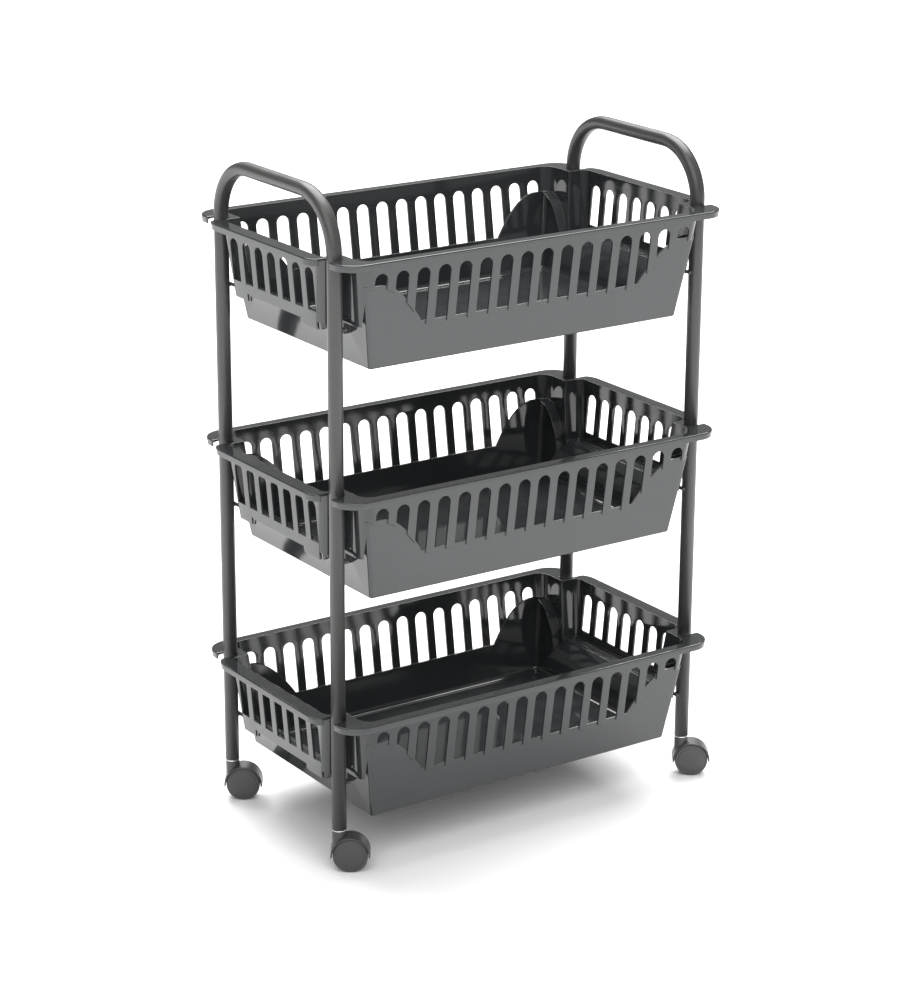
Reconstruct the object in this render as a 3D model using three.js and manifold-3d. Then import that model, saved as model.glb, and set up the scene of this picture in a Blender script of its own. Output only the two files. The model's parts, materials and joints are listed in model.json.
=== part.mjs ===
// Rolling utility cart: two bent end frames carry three clip-on moulded baskets on four twin-wheel casters.
// Millimetres, +Z up, long side along X, floor at z = 0, centred on the origin in X and Y.
import * as THREE from 'three';
import { mergeVertices } from 'three/addons/utils/BufferGeometryUtils.js';
import Module from 'manifold-3d';

const wasm = await Module();
wasm.setup();

// ---- overall sizes ----
const POST_SPACING_X = 430; // centre of one end frame to the other
const POST_SPACING_Y = 210; // front post centre to back post centre
const TIER_PITCH = 230; // one basket to the next
const BOTTOM_TIER_Z = 92; // wire under the lowest basket, above the floor
const TUBE_D = 15;
const TUBE_WALL = 1;
const HANDLE_RISE = 56.5; // handle tube centre above the top basket's rim
const HANDLE_BEND_R = 55;

// ---- basket ----
const BASKET_DEPTH = 284; // over the front and back rims
const BASKET_HEIGHT = 110; // rim top to underside of the floor
const RIM_ABOVE_WIRE = 69;
const END_RIM_OUT = 21.5; // end rim beyond the post centres
const WALL = 2.2;
const FLANGE_T = 2.2;
const LIP_DROP = 7;
const LONG_FLANGE_W = 11.4; // flange on the front and back
const END_FLANGE_W = 15.7;
const LONG_DRAFT = 0.152; // inward travel per mm of depth
const END_DRAFT = 0.087;
const PANEL_INSET = 1.6; // solid panel behind the slotted wall's outer face
const BIN_END_IN = 15.5; // bin end, projected to the rim, inside the post centres
const SLOT_W = 14.2;
const SLOT_TOP = 55; // above the wire
const LONG_SLOTS = 16;
const LONG_SLOT_PITCH = 23.8;
const END_SLOTS = 7;
const END_SLOT_PITCH = 23.3;
const END_SLOT_BOTTOM = 12.5;
const PANEL_LOW_Z = 1; // panel top along the middle of each long side
const PANEL_HIGH_Z = 43; // panel top at the ends
const SWEEP_START_X = 128;
const SWEEP_END_X = 178;
const BAR_LAP = 4; // bars run down over the panel
const LEDGE_Z = 2.4; // underside of the ledge that rests over the wire
const BIN_END_TOP_Z = -9.5;
const GUSSET_FOOT_Y = 87;
const GUSSET_HEAD_Y = 118;
const FOOT_START_Y = 47;
const FOOT_END_Y = 82;
const FOOT_DROP = 5;
const LOBE_R = 24;

// ---- cross wires ----
const WIRE_D = 3.6;

// ---- casters ----
const CASTER_HEAD = 9; // top of the wheel to the end of the tube
const WHEEL_D = 35;
const WHEEL_W = 8.2;
const WEB_T = 3; // housing web between the two wheels
const TRAIL = 11;
const CASTER_ANGLE = -34; // degrees, parked direction of the trail about +Z
const HOOD_T = 1.8;
const NECK_D = 14.2;
const COLLAR_D = 14.6;
const COLLAR_T = 1.3;
const STEM_D = 8;
const SOCKET_DEPTH = 26;
const AXLE_D = 5;

// ---- clearances ----
const GAP = 0.3; // between touching pieces
const WHEEL_GAP = 0.6;
const POST_GAP = 0.4;

// ---- derived ----
const POST_X = POST_SPACING_X / 2;
const POST_Y = POST_SPACING_Y / 2;
const TUBE_R = TUBE_D / 2;
const TUBE_END_Z = WHEEL_D + CASTER_HEAD;
const RIM_X = POST_X + END_RIM_OUT;
const RIM_Y = BASKET_DEPTH / 2;
const FLOOR_Z = RIM_ABOVE_WIRE - BASKET_HEIGHT;
const NOTCH_R = TUBE_R + POST_GAP;
const SHELL_X = RIM_X - END_FLANGE_W; // inner face of the end wall at the rim
const SHELL_Y = RIM_Y - LONG_FLANGE_W;
const COLUMN_X = POST_X - TUBE_R - 7.5; // inner face of the wall beside the post
const COLUMN_Y = POST_Y - TUBE_R - 5.5;
const WIRE_R = WIRE_D / 2;
const WIRE_X = POST_X - TUBE_R - WIRE_R - GAP;
const TIERS = [
  ['bottom', BOTTOM_TIER_Z],
  ['middle', BOTTOM_TIER_Z + TIER_PITCH],
  ['top', BOTTOM_TIER_Z + 2 * TIER_PITCH],
];
const HANDLE_Z = BOTTOM_TIER_Z + 2 * TIER_PITCH + RIM_ABOVE_WIRE + HANDLE_RISE;

const colours = {
  tube: new THREE.MeshStandardMaterial({ color: 0x2e2f30, roughness: 0.42, metalness: 0.35 }),
  wire: new THREE.MeshStandardMaterial({ color: 0x303132, roughness: 0.45, metalness: 0.35 }),
  basket: new THREE.MeshStandardMaterial({ color: 0x26282a, roughness: 0.22, metalness: 0 }),
  socket: new THREE.MeshStandardMaterial({ color: 0x1d1e1f, roughness: 0.55, metalness: 0 }),
  zinc: new THREE.MeshStandardMaterial({ color: 0xc9ccd0, roughness: 0.28, metalness: 0.9 }),
  housing: new THREE.MeshStandardMaterial({ color: 0x262728, roughness: 0.38, metalness: 0 }),
  wheel: new THREE.MeshStandardMaterial({ color: 0x2b2c2d, roughness: 0.5, metalness: 0 }),
};

// ---- shape helpers ----
function solid(geometry) {
  const bare = new THREE.BufferGeometry();
  bare.setAttribute('position', geometry.getAttribute('position').clone());
  if (geometry.index) bare.setIndex(geometry.index.clone());
  const merged = mergeVertices(bare, 1e-4);
  return new wasm.Manifold(new wasm.Mesh({
    numProp: 3,
    vertProperties: new Float32Array(merged.getAttribute('position').array),
    triVerts: new Uint32Array(merged.index.array),
  }));
}

function meshOf(body, name, material) {
  const data = body.getMesh();
  const geometry = new THREE.BufferGeometry();
  geometry.setAttribute('position', new THREE.BufferAttribute(Float32Array.from(data.vertProperties), 3));
  geometry.setIndex(new THREE.BufferAttribute(Uint32Array.from(data.triVerts), 1));
  geometry.computeVertexNormals();
  const mesh = new THREE.Mesh(geometry, material);
  mesh.name = name;
  return mesh;
}

function shapeFrom(points) {
  return new THREE.Shape(points.map(([x, y]) => new THREE.Vector2(x, y)));
}

function plate(points, z0, z1) {
  const geometry = new THREE.ExtrudeGeometry(shapeFrom(points), { depth: z1 - z0, bevelEnabled: false });
  return geometry.translate(0, 0, z0);
}

// A plate whose sides lean inwards below the reference height.
function drafted(points, z0, z1, draftX, draftY, zRef) {
  const geometry = plate(points, z0, z1);
  const position = geometry.getAttribute('position');
  for (let i = 0; i < position.count; i += 1) {
    const below = zRef - position.getZ(i);
    const x = position.getX(i);
    const y = position.getY(i);
    position.setX(i, x - Math.sign(x) * draftX * below);
    position.setY(i, y - Math.sign(y) * draftY * below);
  }
  return solid(geometry);
}

function box(x0, x1, y0, y1, z0, z1) {
  const geometry = new THREE.BoxGeometry(x1 - x0, y1 - y0, z1 - z0);
  return solid(geometry.translate((x0 + x1) / 2, (y0 + y1) / 2, (z0 + z1) / 2));
}

// Profile drawn in X and Z, carried along Y.
function alongY(points, y0, y1) {
  const geometry = new THREE.ExtrudeGeometry(shapeFrom(points), { depth: y1 - y0, bevelEnabled: false });
  geometry.rotateX(Math.PI / 2);
  return solid(geometry.translate(0, y1, 0));
}

// Profile drawn in Y and Z, carried along X.
function alongX(points, x0, x1) {
  const geometry = new THREE.ExtrudeGeometry(shapeFrom(points), { depth: x1 - x0, bevelEnabled: false });
  geometry.rotateZ(Math.PI / 2);
  geometry.rotateY(Math.PI / 2);
  return solid(geometry.translate(x0, 0, 0));
}

function rodZ(radius, z0, z1, sides) {
  const geometry = new THREE.CylinderGeometry(radius, radius, z1 - z0, sides);
  geometry.rotateX(Math.PI / 2);
  return solid(geometry.translate(0, 0, (z0 + z1) / 2));
}

function rodY(radius, y0, y1, sides) {
  const geometry = new THREE.CylinderGeometry(radius, radius, y1 - y0, sides);
  return solid(geometry.translate(0, (y0 + y1) / 2, 0));
}

function arc(cx, cy, r, from, to, steps) {
  const points = [];
  for (let i = 0; i <= steps; i += 1) {
    const a = THREE.MathUtils.degToRad(from + ((to - from) * i) / steps);
    points.push([cx + r * Math.cos(a), cy + r * Math.sin(a)]);
  }
  return points;
}

// Repeats a first-quadrant outline round all four quadrants, as one anticlockwise loop.
function fourWays(quarter) {
  const back = [...quarter].reverse();
  return [
    ...quarter,
    ...back.map(([x, y]) => [-x, y]),
    ...quarter.map(([x, y]) => [-x, -y]),
    ...back.map(([x, y]) => [x, -y]),
  ];
}

function union(list) {
  return list.reduce((sum, item) => sum.add(item));
}

// ---- end frame: posts and handle bent from one tube ----
class FrameLine extends THREE.Curve {
  constructor(stations) {
    super();
    this.stations = stations;
  }

  getPointAt(u) {
    return this.stations[Math.round(u * (this.stations.length - 1))].point.clone();
  }

  getPoint(t) {
    return this.getPointAt(t);
  }

  getTangentAt(u) {
    return this.stations[Math.round(u * (this.stations.length - 1))].tangent.clone();
  }

  getSpacedPoints() {
    return this.stations.map((station) => station.point.clone());
  }
}

function endFrame(side) {
  const bendSteps = 7;
  const stations = [];
  const put = (y, z, ty, tz) => {
    stations.push({ point: new THREE.Vector3(side * POST_X, y, z), tangent: new THREE.Vector3(0, ty, tz) });
  };
  put(-POST_Y, TUBE_END_Z, 0, 1);
  for (let corner = 0; corner < 2; corner += 1) {
    const cy = (corner === 0 ? -1 : 1) * (POST_Y - HANDLE_BEND_R);
    for (let i = 0; i <= bendSteps; i += 1) {
      const a = Math.PI - ((corner + i / bendSteps) * Math.PI) / 2;
      const y = cy + HANDLE_BEND_R * Math.cos(a);
      const z = HANDLE_Z - HANDLE_BEND_R + HANDLE_BEND_R * Math.sin(a);
      put(y, z, Math.sin(a), -Math.cos(a));
    }
  }
  put(POST_Y, TUBE_END_Z, 0, -1);
  const section = new THREE.Shape();
  section.absarc(0, 0, TUBE_R, 0, Math.PI * 2, false);
  const bore = new THREE.Path();
  bore.absarc(0, 0, TUBE_R - TUBE_WALL, 0, Math.PI * 2, true);
  section.holes.push(bore);
  const geometry = new THREE.ExtrudeGeometry(section, {
    steps: stations.length - 1,
    curveSegments: 7,
    extrudePath: new FrameLine(stations),
  });
  return solid(geometry);
}

// ---- basket ----
function basket() {
  const top = RIM_ABOVE_WIRE;
  const inner = fourWays([
    [SHELL_X, COLUMN_Y - 8],
    [SHELL_X - 2, COLUMN_Y - 2.5],
    [SHELL_X - 7, COLUMN_Y],
    [COLUMN_X, COLUMN_Y],
    [COLUMN_X, SHELL_Y - 10],
    [COLUMN_X - 2.6, SHELL_Y - 3.4],
    [COLUMN_X - 9, SHELL_Y],
  ]);
  const outer = fourWays([
    [SHELL_X + WALL, COLUMN_Y - 7],
    [SHELL_X - 0.6, COLUMN_Y - 0.8],
    [SHELL_X - 6.6, COLUMN_Y + WALL],
    [COLUMN_X + WALL, COLUMN_Y + WALL],
    [COLUMN_X + WALL, SHELL_Y - 9.4],
    [COLUMN_X - 1, SHELL_Y - 1.6],
    [COLUMN_X - 8.4, SHELL_Y + WALL],
  ]);
  const outerSolid = drafted(outer, -FOOT_DROP - 6, top, END_DRAFT, LONG_DRAFT, top);
  const innerSolid = drafted(inner, -FOOT_DROP - 7, top + 0.5, END_DRAFT, LONG_DRAFT, top);

  // Upper edge of the solid panel on a long side, dropping in a sweep to the low middle.
  const sweep = (lower) => {
    const half = [];
    const steps = 6;
    for (let i = 0; i <= steps; i += 1) {
      const x = SWEEP_START_X + ((SWEEP_END_X - SWEEP_START_X) * i) / steps;
      const rise = (1 - Math.cos((Math.PI * i) / steps)) / 2;
      half.push([x, PANEL_LOW_Z + (PANEL_HIGH_Z - PANEL_LOW_Z) * rise - lower]);
    }
    return half;
  };
  const binX = POST_X - BIN_END_IN;
  const binTopX = binX - LONG_DRAFT * (top - PANEL_HIGH_Z);

  // Slotted wall: kept above the sweep on the long sides and above the skirt edge at the ends.
  const lowered = sweep(BAR_LAP);
  const hemX = binTopX - 3;
  const skirtX = WIRE_X + WIRE_R + 2;
  const keepUpper = [
    [RIM_X, top + 1],
    [-RIM_X, top + 1],
    [-RIM_X, 1],
    [-skirtX, 1],
    [-skirtX, LEDGE_Z],
    [-hemX, LEDGE_Z],
    [-hemX, PANEL_HIGH_Z - BAR_LAP],
    ...[...lowered].reverse().map(([x, z]) => [-x, z]),
    ...lowered,
    [hemX, PANEL_HIGH_Z - BAR_LAP],
    [hemX, LEDGE_Z],
    [skirtX, LEDGE_Z],
    [skirtX, 1],
    [RIM_X, 1],
  ];
  const ring = outerSolid.subtract(innerSolid);
  let upper = ring.intersect(alongY(keepUpper, -RIM_Y, RIM_Y));

  // Feet hang below the end skirts and hook over the wire from one side.
  for (const side of [-1, 1]) {
    for (const from of [FOOT_START_Y, -FOOT_END_Y]) {
      const x0 = side > 0 ? skirtX : -RIM_X;
      const x1 = side > 0 ? RIM_X : -skirtX;
      const foot = box(x0, x1, from, from + FOOT_END_Y - FOOT_START_Y, -FOOT_DROP, 2);
      upper = upper.add(ring.intersect(foot));
      const hook = side > 0 ? from + FOOT_END_Y - FOOT_START_Y - 5.5 : from + 2.5;
      upper = upper.subtract(box(x0, x1, hook, hook + 3, -FOOT_DROP - 1, 4));
    }
  }

  // Slots.
  const slotProfile = (z0) => [
    [SLOT_W / 2, z0],
    ...arc(0, SLOT_TOP - SLOT_W / 2, SLOT_W / 2, 0, 180, 4),
    [-SLOT_W / 2, z0],
  ];
  const longSlot = alongY(slotProfile(-FOOT_DROP - 5), -RIM_Y, RIM_Y);
  const endSlot = alongX(slotProfile(END_SLOT_BOTTOM), -RIM_X, RIM_X);
  const cutters = [];
  for (let i = 0; i < LONG_SLOTS; i += 1) {
    cutters.push(longSlot.translate([(i - (LONG_SLOTS - 1) / 2) * LONG_SLOT_PITCH, 0, 0]));
  }
  const endCutters = [];
  for (let i = 0; i < END_SLOTS; i += 1) {
    endCutters.push(endSlot.translate([0, (i - (END_SLOTS - 1) / 2) * END_SLOT_PITCH, 0]));
  }
  upper = upper.subtract(union(cutters)).subtract(union(endCutters));

  // Bin: solid lower box, its long walls rising to the humps at the corners.
  const panelY = SHELL_Y + WALL - PANEL_INSET;
  const binOuter = fourWays([
    [binX, panelY - 3],
    [binX - 3, panelY],
  ]);
  const binInner = fourWays([
    [binX - WALL, panelY - WALL - 2],
    [binX - WALL - 2, panelY - WALL],
  ]);
  const binBody = drafted(binOuter, FLOOR_Z, PANEL_HIGH_Z, LONG_DRAFT, LONG_DRAFT, top);
  const binHollow = drafted(binInner, FLOOR_Z + WALL, PANEL_HIGH_Z + 1, LONG_DRAFT, LONG_DRAFT, top);
  const raised = sweep(0);
  const keepPanel = [
    [RIM_X, FLOOR_Z - 1],
    [RIM_X, PANEL_HIGH_Z],
    ...[...raised].reverse(),
    ...raised.map(([x, z]) => [-x, z]),
    [-RIM_X, PANEL_HIGH_Z],
    [-RIM_X, FLOOR_Z - 1],
  ];
  // Edge that climbs from the bin's end wall up to the hump beside each corner.
  const gusset = (lift) => {
    const points = [];
    const steps = 4;
    for (let i = 0; i <= steps; i += 1) {
      const t = i / steps;
      const y = (1 - t) ** 2 * GUSSET_FOOT_Y + 2 * t * (1 - t) * (GUSSET_FOOT_Y + 5) + t * t * GUSSET_HEAD_Y;
      const z = (1 - t) ** 2 * BIN_END_TOP_Z + 2 * t * (1 - t) * (PANEL_HIGH_Z - 7) + t * t * PANEL_HIGH_Z;
      points.push([y + lift * (1 - t), z - lift * t]);
    }
    return points;
  };
  const climb = gusset(0);
  const keepEnd = [
    [-RIM_Y, FLOOR_Z - 1],
    [RIM_Y, FLOOR_Z - 1],
    [RIM_Y, PANEL_HIGH_Z],
    ...[...climb].reverse(),
    ...climb.map(([y, z]) => [-y, z]),
    [-RIM_Y, PANEL_HIGH_Z],
  ];
  const bin = binBody
    .subtract(binHollow)
    .intersect(alongY(keepPanel, -RIM_Y, RIM_Y))
    .intersect(alongX(keepEnd, -RIM_X, RIM_X));

  // Ledge: slope out of the bin, then flat over the wire to the end skirt.
  const lip = gusset(WALL);
  const slopeFoot = binX - LONG_DRAFT * (top - BIN_END_TOP_Z);
  const slopeHead = COLUMN_X - 1;
  const ledges = [];
  for (const side of [-1, 1]) {
    const profile = [
      [side * (slopeFoot - WALL), BIN_END_TOP_Z],
      [side * slopeFoot, BIN_END_TOP_Z],
      [side * slopeHead, LEDGE_Z],
      [side * RIM_X, LEDGE_Z],
      [side * RIM_X, LEDGE_Z + WALL],
      [side * (slopeHead - 1), LEDGE_Z + WALL],
    ];
    ledges.push(alongY(side > 0 ? profile : [...profile].reverse(), -GUSSET_FOOT_Y - 0.8, GUSSET_FOOT_Y + 0.8));
    // Two low ribs stiffen the ledge.
    for (const x of [slopeHead + 1, slopeHead + 9]) {
      const rib = box(x - 0.8, x + 0.8, -COLUMN_Y + 20, COLUMN_Y - 20, LEDGE_Z + 1, LEDGE_Z + WALL + 1);
      ledges.push(side > 0 ? rib : rib.mirror([1, 0, 0]));
    }
    for (const end of [-1, 1]) {
      const strip = [...climb, ...[...lip].reverse()].map(([y, z]) => [end * y, z]);
      const wall = alongX(end > 0 ? [...strip].reverse() : strip, slopeFoot - WALL, RIM_X);
      ledges.push(side > 0 ? wall : wall.mirror([1, 0, 0]));
    }
  }
  const ledge = union(ledges).intersect(outerSolid.add(binBody));

  // Rim: flat flange with a turned-down lip and a notch round each post.
  const notchSide = POST_Y - NOTCH_R;
  const flangeOuter = fourWays([
    [RIM_X, notchSide - 17],
    [RIM_X - 1, notchSide - 10],
    [RIM_X - 3.6, notchSide - 4],
    [RIM_X - 8, notchSide],
    ...arc(POST_X, POST_Y, NOTCH_R, 270, 90, 6),
    [RIM_X - 10, POST_Y + NOTCH_R],
    ...arc(RIM_X - 10 - LOBE_R, RIM_Y - LOBE_R, LOBE_R, 8, 90, 4),
  ]);
  const lipBody = solid(plate(flangeOuter, top - LIP_DROP, top));
  const lipInner = fourWays([
    [RIM_X - WALL, notchSide - 17],
    [RIM_X - 1 - WALL, notchSide - 10.6],
    [RIM_X - 3.6 - WALL, notchSide - 5.6],
    [RIM_X - 10, notchSide],
    [RIM_X - 10, notchSide + 2],
    [COLUMN_X, notchSide + 2],
    [COLUMN_X, POST_Y + NOTCH_R - 2],
    [RIM_X - 10 - WALL, POST_Y + NOTCH_R - 2],
    [RIM_X - 10 - WALL, POST_Y + NOTCH_R + 2],
    ...arc(RIM_X - 10 - LOBE_R, RIM_Y - LOBE_R, LOBE_R - WALL, 8, 90, 4),
  ]);
  const lipHollow = solid(plate(lipInner, top - LIP_DROP - 1, top - FLANGE_T));
  const rim = lipBody.subtract(lipHollow).subtract(innerSolid);

  return union([upper, bin, ledge, rim]);
}

// ---- casters ----
function casterPieces() {
  const wheelR = WHEEL_D / 2;
  const hoodR = wheelR + WHEEL_GAP + HOOD_T;
  const halfW = WEB_T / 2 + WHEEL_GAP + WHEEL_W;
  const neckTop = TUBE_END_Z - COLLAR_T - GAP * 2;
  const neckFoot = wheelR + 6;

  const around = [[0, 0], ...arc(0, 0, hoodR, -8, 188, 12)];
  let hood = alongY(around, -halfW, halfW);
  for (const side of [-1, 1]) {
    const y0 = side > 0 ? WEB_T / 2 : -halfW - 1;
    hood = hood.subtract(rodY(wheelR + WHEEL_GAP, y0, y0 + halfW + 1 - WEB_T / 2, 20));
  }
  const boss = rodY(AXLE_D / 2 + 2.5, -WEB_T / 2, WEB_T / 2, 16);
  hood = hood.add(boss).translate([TRAIL, 0, wheelR]);
  const neck = rodZ(NECK_D / 2, neckFoot, neckTop, 16);
  const wheelSpace = rodY(wheelR + WHEEL_GAP, -halfW - 1, halfW + 1, 20).translate([TRAIL, 0, wheelR]);
  hood = hood.add(neck.subtract(wheelSpace));
  const wheelTop = wheelR + Math.sqrt((wheelR + WHEEL_GAP) ** 2 - (TRAIL - STEM_D / 2) ** 2);
  const stemFoot = wheelTop + GAP + 1.2;
  hood = hood.subtract(rodZ(STEM_D / 2 + GAP, stemFoot - GAP, TUBE_END_Z, 14));
  const axleHole = rodY(AXLE_D / 2 + GAP, -halfW, halfW, 12).translate([TRAIL, 0, wheelR]);
  hood = hood.subtract(axleHole);

  const stemTop = TUBE_END_Z + SOCKET_DEPTH - 3;
  const stem = rodZ(STEM_D / 2, stemFoot, stemTop, 14)
    .add(rodZ(COLLAR_D / 2, neckTop + GAP, TUBE_END_Z - GAP, 16));
  const socket = rodZ(TUBE_R - TUBE_WALL - GAP, TUBE_END_Z, TUBE_END_Z + SOCKET_DEPTH, 16)
    .subtract(rodZ(STEM_D / 2 + GAP, TUBE_END_Z - 1, stemTop + GAP, 14));

  const blind = WHEEL_W - 2.4;
  const axle = rodY(AXLE_D / 2, -WEB_T / 2 - WHEEL_GAP - blind + GAP, WEB_T / 2 + WHEEL_GAP + blind - GAP, 12)
    .translate([TRAIL, 0, wheelR]);

  const profile = [
    [0, blind],
    [AXLE_D / 2 + GAP, blind],
    [AXLE_D / 2 + GAP, 0],
    [wheelR - 1, 0],
    [wheelR, 1],
    [wheelR, WHEEL_W - 1.6],
    [wheelR - 0.5, WHEEL_W - 1],
    [wheelR - 3, WHEEL_W - 0.5],
    [0, WHEEL_W],
  ].map(([r, y]) => new THREE.Vector2(r, y));
  const half = solid(new THREE.LatheGeometry(profile, 18)).translate([0, WEB_T / 2 + WHEEL_GAP, 0]);
  const wheelBack = half.translate([TRAIL, 0, wheelR]);
  const wheelFront = half.mirror([0, 1, 0]).translate([TRAIL, 0, wheelR]);
  return { hood, stem, socket, axle, wheelFront, wheelBack };
}

// ---- assembly ----
const cart = new THREE.Group();
cart.name = 'rolling_utility_cart';

for (const [label, side] of [['left', -1], ['right', 1]]) {
  cart.add(meshOf(endFrame(side), `${label}_frame_tube`, colours.tube));
  for (const [tier, z] of TIERS) {
    const wire = rodY(WIRE_R, -POST_Y - 4, POST_Y + 4, 10).translate([side * WIRE_X, 0, z]);
    cart.add(meshOf(wire, `${label}_${tier}_wire`, colours.wire));
  }
}

const basketBody = basket();
for (const [tier, z] of TIERS) {
  cart.add(meshOf(basketBody.translate([0, 0, z]), `${tier}_basket`, colours.basket));
}

const caster = casterPieces();
for (const [xName, xSide] of [['left', -1], ['right', 1]]) {
  for (const [yName, ySide] of [['front', -1], ['back', 1]]) {
    const place = (body) => body.rotate([0, 0, CASTER_ANGLE]).translate([xSide * POST_X, ySide * POST_Y, 0]);
    const name = `${yName}_${xName}`;
    cart.add(meshOf(place(caster.socket), `${name}_socket`, colours.socket));
    cart.add(meshOf(place(caster.stem), `${name}_stem`, colours.zinc));
    cart.add(meshOf(place(caster.hood), `${name}_housing`, colours.housing));
    cart.add(meshOf(place(caster.axle), `${name}_axle`, colours.zinc));
    cart.add(meshOf(place(caster.wheelFront), `${name}_wheel_outer`, colours.wheel));
    cart.add(meshOf(place(caster.wheelBack), `${name}_wheel_inner`, colours.wheel));
  }
}

export default cart;
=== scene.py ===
import json
import math

import bmesh
import bpy
from mathutils import Matrix, Vector


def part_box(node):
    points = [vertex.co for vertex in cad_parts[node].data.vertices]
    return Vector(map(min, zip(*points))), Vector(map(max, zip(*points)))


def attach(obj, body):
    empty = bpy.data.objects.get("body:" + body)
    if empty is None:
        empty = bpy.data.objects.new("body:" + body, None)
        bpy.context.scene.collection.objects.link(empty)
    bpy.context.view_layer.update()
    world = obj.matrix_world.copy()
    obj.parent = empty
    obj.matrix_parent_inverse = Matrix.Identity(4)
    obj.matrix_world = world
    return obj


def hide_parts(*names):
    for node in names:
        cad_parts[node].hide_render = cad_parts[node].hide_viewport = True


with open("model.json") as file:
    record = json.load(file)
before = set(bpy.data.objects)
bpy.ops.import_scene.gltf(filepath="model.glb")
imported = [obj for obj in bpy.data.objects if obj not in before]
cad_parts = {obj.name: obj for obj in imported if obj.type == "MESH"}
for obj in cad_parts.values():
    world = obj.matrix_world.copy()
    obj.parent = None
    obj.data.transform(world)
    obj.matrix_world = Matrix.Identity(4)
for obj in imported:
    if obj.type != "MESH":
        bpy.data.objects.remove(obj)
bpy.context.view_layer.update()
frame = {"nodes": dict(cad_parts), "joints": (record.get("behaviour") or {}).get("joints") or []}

# Three-tier rolling cart: painted steel end frames, glossy moulded baskets and
# twin-wheel casters. Metres, +Z up.

# ---- places and sizes read from the frame ----
tube_low, tube_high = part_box("right_frame_tube")
POST_X = (tube_low.x + tube_high.x) / 2
TUBE_R = (tube_high.x - tube_low.x) / 2
POST_Y = tube_high.y - TUBE_R
TUBE_END_Z = tube_low.z
HANDLE_Z = tube_high.z - TUBE_R
TIERS = ("bottom", "middle", "top")


def wire_height(tier):
    low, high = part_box(f"right_{tier}_wire")
    return (low.z + high.z) / 2


wire_low, wire_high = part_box("right_bottom_wire")
WIRE_R = (wire_high.z - wire_low.z) / 2
WIRE_X = wire_high.x - WIRE_R
basket_low, basket_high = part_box("bottom_basket")
RIM_X = basket_high.x
RIM_Y = basket_high.y
RIM_Z = basket_high.z - wire_height("bottom")
FLOOR_Z = basket_low.z - wire_height("bottom")
wheel_low, wheel_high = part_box("front_left_wheel_outer")
WHEEL_R = (wheel_high.z - wheel_low.z) / 2

# ---- end frames ----
TUBE_WALL = 0.001
BEND_R = 0.055
BEND_SQUASH = 0.09  # how much the bend narrows across its outside
BEND_FLATS = 0.75  # 0 keeps the bend round, 1 makes it square

# ---- baskets ----
WALL = 0.0022
FLANGE_T = 0.0022
LIP_DROP = 0.007
LIP_STEP = 0.0005
RIM_ROUND = 0.0014
LONG_FLANGE_W = 0.0114
END_FLANGE_W = 0.0157
LONG_DRAFT = 0.152
END_DRAFT = 0.087
PANEL_INSET = 0.0016
BIN_END_IN = 0.0155
SLOT_W = 0.0142
SLOT_TOP = 0.055
LONG_SLOTS = 16
LONG_SLOT_PITCH = 0.0238
END_SLOTS = 7
END_SLOT_PITCH = 0.0233
END_SLOT_BOTTOM = 0.0125
PANEL_LOW_Z = 0.001
PANEL_HIGH_Z = 0.043
SWEEP_START_X = 0.128
SWEEP_END_X = 0.178
SWEEP_BULGE = 1.8  # 1 makes a straight slope, more makes it bulge
BAR_LAP = 0.004
LEDGE_Z = 0.0024
BIN_END_TOP_Z = -0.0095
GUSSET_FOOT_Y = 0.087
GUSSET_HEAD_Y = 0.118
FOOT_START_Y = 0.047
FOOT_END_Y = 0.082
FOOT_DROP = 0.005
LOBE_R = 0.024
NOTCH_GAP = 0.0004
EDGE_ROUND = 0.0004
COLUMN_GAP_X = 0.0075  # post to the wall beside it
COLUMN_GAP_Y = 0.0055
HOOK_W = 0.003
RIB_W = 0.0018
CORNER_RX = 0.012  # the basket's corner, elliptical beside the post
CORNER_RY = 0.016
FLOOR_FILLET = 0.005

# ---- casters ----
WHEEL_W = 0.0082
WEB_T = 0.003
WHEEL_GAP = 0.0006
HOOD_T = 0.0016
HOOD_ROUND = 0.00018
NECK_R = 0.0071
COLLAR_R = 0.0073
COLLAR_T = 0.0013
STEM_R = 0.004
SOCKET_DEPTH = 0.026
AXLE_R = 0.0025
GAP = 0.0003

SHELL_X = RIM_X - END_FLANGE_W
SHELL_Y = RIM_Y - LONG_FLANGE_W
COLUMN_X = POST_X - TUBE_R - COLUMN_GAP_X
COLUMN_Y = POST_Y - TUBE_R - COLUMN_GAP_Y
NOTCH_R = TUBE_R + NOTCH_GAP


# ---- mesh helpers ----
MERGE = 2e-6  # points closer than this are one
FLAT_ANGLE = math.radians(0.6)  # faces that meet at less are one flat area
LONG_OUTLINE = 8  # faces with more corners are split before their edges are rounded
BASKET_SMOOTH = 42  # degrees, edges sharper than this stay crisp
ROUND_SMOOTH = 50


def piece_from(bm, name):
    mesh = bpy.data.meshes.new(name)
    bm.to_mesh(mesh)
    bm.free()
    obj = bpy.data.objects.new(name, mesh)
    bpy.context.scene.collection.objects.link(obj)
    return obj


def verts_of(result):
    return [item for item in result["geom"] if isinstance(item, bmesh.types.BMVert)]


def edges_of(result, key="geom"):
    return [item for item in result[key] if isinstance(item, bmesh.types.BMEdge)]


def arc(cx, cy, rx, start, end, steps, ry=None):
    """Points along an arc from start to end, in degrees; ry makes it part of an ellipse."""
    points = []
    for i in range(steps + 1):
        turn = math.radians(start + (end - start) * i / steps)
        points.append((cx + rx * math.cos(turn), cy + (ry or rx) * math.sin(turn)))
    return points


def four_ways(quarter):
    """A first-quadrant outline carried round all four quadrants as one loop."""
    back = quarter[::-1]
    return (
        quarter
        + [(-x, y) for x, y in back]
        + [(-x, -y) for x, y in quarter]
        + [(x, -y) for x, y in back]
    )


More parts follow.
